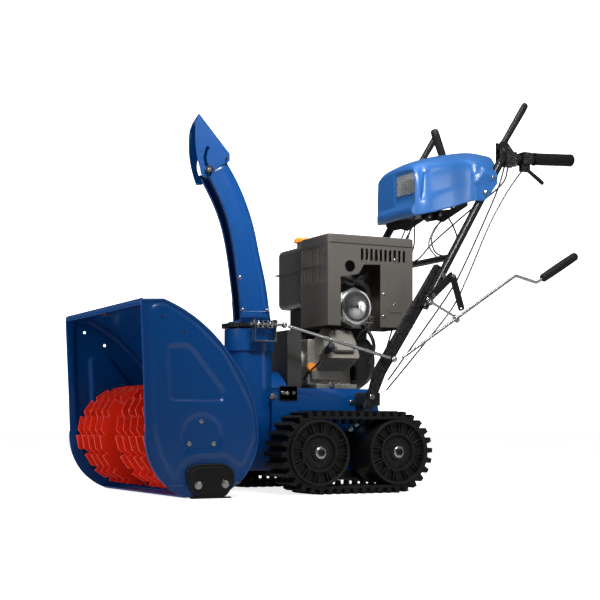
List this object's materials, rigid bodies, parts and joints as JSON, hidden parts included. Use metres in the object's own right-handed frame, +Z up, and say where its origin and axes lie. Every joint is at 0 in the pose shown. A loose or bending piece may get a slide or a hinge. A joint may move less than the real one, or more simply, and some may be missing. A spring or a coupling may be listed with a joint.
{
  "type": "two stage snowblower",
  "caption": "Self-propelled two stage snowblower on rubber tracks, with a serrated auger, impeller, swivelling discharge chute, engine and handlebar controls.",
  "frame": {"origin": "ground level, under the middle of the whole machine", "axes": "+Z up, the auger housing faces -Y, +X is the operator's left side"},
  "size_m": [0.688, 1.4599, 1.187],
  "materials": {
    "blue_paint": "gloss powder coat",
    "red_paint": "gloss paint",
    "black_paint": "satin powder coat",
    "zinc": "zinc plated",
    "steel": "machined",
    "cast_aluminium": "as cast",
    "cast_iron": "as cast",
    "track_rubber": "moulded",
    "grip_rubber": "soft moulded",
    "belt_rubber": "smooth",
    "wheel_plastic": "moulded",
    "black_plastic": "moulded",
    "grey_plastic": "fine moulded texture",
    "dark_grey_plastic": "moulded",
    "console_plastic": "gloss moulded",
    "orange_plastic": "gloss moulded",
    "lamp_glass": "clear",
    "lamp_chrome": "vapour plated"
  },
  "bodies": {
    "machine": {"side_plates": "blue_paint", "housing_shell": "blue_paint", "scraper_bar": "blue_paint", "shaft_bearings": "steel", "hex_bolts": "zinc", "skid_shoes": "black_paint", "gearcase_halves": "red_paint", "impeller_housing": "blue_paint", "chute_collar": "blue_paint", "small_brackets": "zinc", "track_belts": "track_rubber", "track_frames": "black_paint", "engine_deck": "blue_paint", "tractor_frame": "blue_paint", "belly_pan": "black_paint", "steering_gearbox": "cast_aluminium", "drive_belts": "belt_rubber", "belt_guard": "dark_grey_plastic", "engine_block": "cast_aluminium", "recoil_housing": "black_plastic", "muffler": "steel", "engine_cover": "grey_plastic", "fuel_tank": "dark_grey_plastic", "carburettor": "black_plastic", "lower_handles": "black_paint", "upper_handles": "black_paint", "hand_grips": "grip_rubber", "lever_brackets": "black_paint", "console": "console_plastic", "lamp_reflector": "lamp_chrome", "lamp_lens": "lamp_glass", "control_cables": "belt_rubber"},
    "auger": {"auger_flights": "red_paint", "auger_shaft": "steel", "worm_wheel": "cast_iron"},
    "impeller": {"impeller": "red_paint", "impeller_shaft": "steel"},
    "crankshaft": {"crankshaft": "steel"},
    "drive_disc": {"drive_disc": "cast_aluminium"},
    "friction_wheel": {"friction_wheel": "belt_rubber"},
    "chute": {"chute": "blue_paint", "chute_gear": "black_plastic", "hood_knobs": "black_plastic"},
    "chute_hood": {"chute_hood": "blue_paint"},
    "chute_worm": {"chute_worm": "zinc"},
    "crank_front_rod": {"crank_front_rod": "zinc"},
    "crank": {"crank_rod": "zinc"},
    "crank_grip": {"crank_grip": "black_plastic"},
    "idler_wheel_left": {"idler_wheel_left": "wheel_plastic"},
    "idler_wheel_right": {"idler_wheel_right": "wheel_plastic"},
    "drive_wheel_left": {"drive_wheel_left": "wheel_plastic"},
    "drive_wheel_right": {"drive_wheel_right": "wheel_plastic"},
    "clutch_lever_left": {"clutch_lever_left": "black_plastic"},
    "clutch_lever_right": {"clutch_lever_right": "black_plastic"},
    "steering_trigger_left": {"steering_trigger_left": "black_plastic"},
    "steering_trigger_right": {"steering_trigger_right": "black_plastic"},
    "shift_lever": {"shift_lever": "black_plastic"},
    "oil_cap": {"oil_cap": "orange_plastic"},
    "fuel_cap": {"fuel_cap": "orange_plastic"},
    "recoil_handle": {"recoil_handle": "black_plastic"}
  },
  "joints": [
    {"name": "impeller_spin", "type": "hinge", "parent": "machine", "child": "impeller", "pos_m": [0, -0.56, 0.209], "axis": [0, 1, 0], "continuous": true},
    {"name": "auger_spin", "type": "hinge", "parent": "machine", "child": "auger", "pos_m": [0, -0.56, 0.165], "axis": [1, 0, 0], "continuous": true},
    {"name": "crankshaft_spin", "type": "hinge", "parent": "machine", "child": "crankshaft", "pos_m": [0, -0.16, 0.392], "axis": [0, 1, 0], "continuous": true},
    {"name": "drive_disc_spin", "type": "hinge", "parent": "machine", "child": "drive_disc", "pos_m": [0, -0.11, 0.205], "axis": [0, 1, 0], "continuous": true},
    {"name": "friction_wheel_spin", "type": "hinge", "parent": "machine", "child": "friction_wheel", "pos_m": [0.068, -0.0065, 0.205], "axis": [1, 0, 0], "continuous": true},
    {"name": "chute_turn", "type": "hinge", "parent": "machine", "child": "chute", "pos_m": [0.082, -0.3076, 0.4813], "axis": [0, 0, 1], "range_deg": [-100, 100]},
    {"name": "hood_pitch", "type": "hinge", "parent": "chute", "child": "chute_hood", "pos_m": [0.06318, -0.38309, 0.9526], "axis": [0.9703, -0.2419, 0], "range_deg": [0, 60]},
    {"name": "chute_worm_spin", "type": "hinge", "parent": "machine", "child": "chute_worm", "pos_m": [0.177, -0.304, 0.4813], "axis": [0, 1, 0], "range_deg": [-4900, 4900]},
    {"name": "front_rod_spin", "type": "hinge", "parent": "machine", "child": "crank_front_rod", "pos_m": [0.177, -0.24, 0.4813], "axis": [0.2537, 0.9264, -0.2782], "range_deg": [-4900, 4900]},
    {"name": "chute_crank_turn", "type": "hinge", "parent": "machine", "child": "crank", "pos_m": [0.263, 0.088, 0.383], "axis": [0.05, 0.831, 0.554], "range_deg": [-4900, 4900]},
    {"name": "crank_grip_spin", "type": "hinge", "parent": "crank", "child": "crank_grip", "pos_m": [0.287, 0.588, 0.645], "axis": [0, 0.8569, 0.5155], "continuous": true},
    {"name": "drive_wheel_left_spin", "type": "hinge", "parent": "machine", "child": "drive_wheel_left", "pos_m": [0.2475, 0.06, 0.118], "axis": [1, 0, 0], "continuous": true},
    {"name": "idler_wheel_left_spin", "type": "hinge", "parent": "machine", "child": "idler_wheel_left", "pos_m": [0.2475, -0.193, 0.118], "axis": [1, 0, 0], "continuous": true},
    {"name": "clutch_lever_left_press", "type": "hinge", "parent": "machine", "child": "clutch_lever_left", "pos_m": [0.254, 0.46, 1.044], "axis": [1, 0, 0], "range_deg": [-52, 0]},
    {"name": "steering_trigger_left_pull", "type": "hinge", "parent": "machine", "child": "steering_trigger_left", "pos_m": [0.254, 0.552, 0.984], "axis": [1, 0, 0], "range_deg": [0, 20]},
    {"name": "drive_wheel_right_spin", "type": "hinge", "parent": "machine", "child": "drive_wheel_right", "pos_m": [-0.2475, 0.06, 0.118], "axis": [1, 0, 0], "continuous": true},
    {"name": "idler_wheel_right_spin", "type": "hinge", "parent": "machine", "child": "idler_wheel_right", "pos_m": [-0.2475, -0.193, 0.118], "axis": [1, 0, 0], "continuous": true},
    {"name": "clutch_lever_right_press", "type": "hinge", "parent": "machine", "child": "clutch_lever_right", "pos_m": [-0.254, 0.46, 1.044], "axis": [1, 0, 0], "range_deg": [-52, 0]},
    {"name": "steering_trigger_right_pull", "type": "hinge", "parent": "machine", "child": "steering_trigger_right", "pos_m": [-0.254, 0.552, 0.984], "axis": [1, 0, 0], "range_deg": [0, 20]},
    {"name": "shift_lever_swing", "type": "hinge", "parent": "machine", "child": "shift_lever", "pos_m": [0, 0.43, 1.01], "axis": [1, 0, 0], "range_deg": [-40, 15]},
    {"name": "oil_cap_twist", "type": "hinge", "parent": "machine", "child": "oil_cap", "pos_m": [0.07, -0.1, 0.368], "axis": [1, 0, 0], "range_deg": [0, 360]},
    {"name": "fuel_cap_twist", "type": "hinge", "parent": "machine", "child": "fuel_cap", "pos_m": [-0.075, -0.055, 0.75], "axis": [0, 0, 1], "range_deg": [0, 120]},
    {"name": "recoil_pull", "type": "slide", "parent": "machine", "child": "recoil_handle", "axis": [0, 1, 0], "range_m": [0, 0.5]}
  ],
  "couplings": [
    {"joint": "auger_spin", "follows": "impeller_spin", "ratio": 0.1},
    {"joint": "crankshaft_spin", "follows": "impeller_spin", "ratio": 2.6788},
    {"joint": "drive_disc_spin", "follows": "impeller_spin", "ratio": 1.773},
    {"joint": "chute_worm_spin", "follows": "chute_turn", "ratio": 48},
    {"joint": "front_rod_spin", "follows": "chute_turn", "ratio": 48},
    {"joint": "chute_crank_turn", "follows": "chute_turn", "ratio": 48},
    {"joint": "idler_wheel_left_spin", "follows": "drive_wheel_left_spin", "ratio": 1},
    {"joint": "idler_wheel_right_spin", "follows": "drive_wheel_right_spin", "ratio": 1}
  ]
}
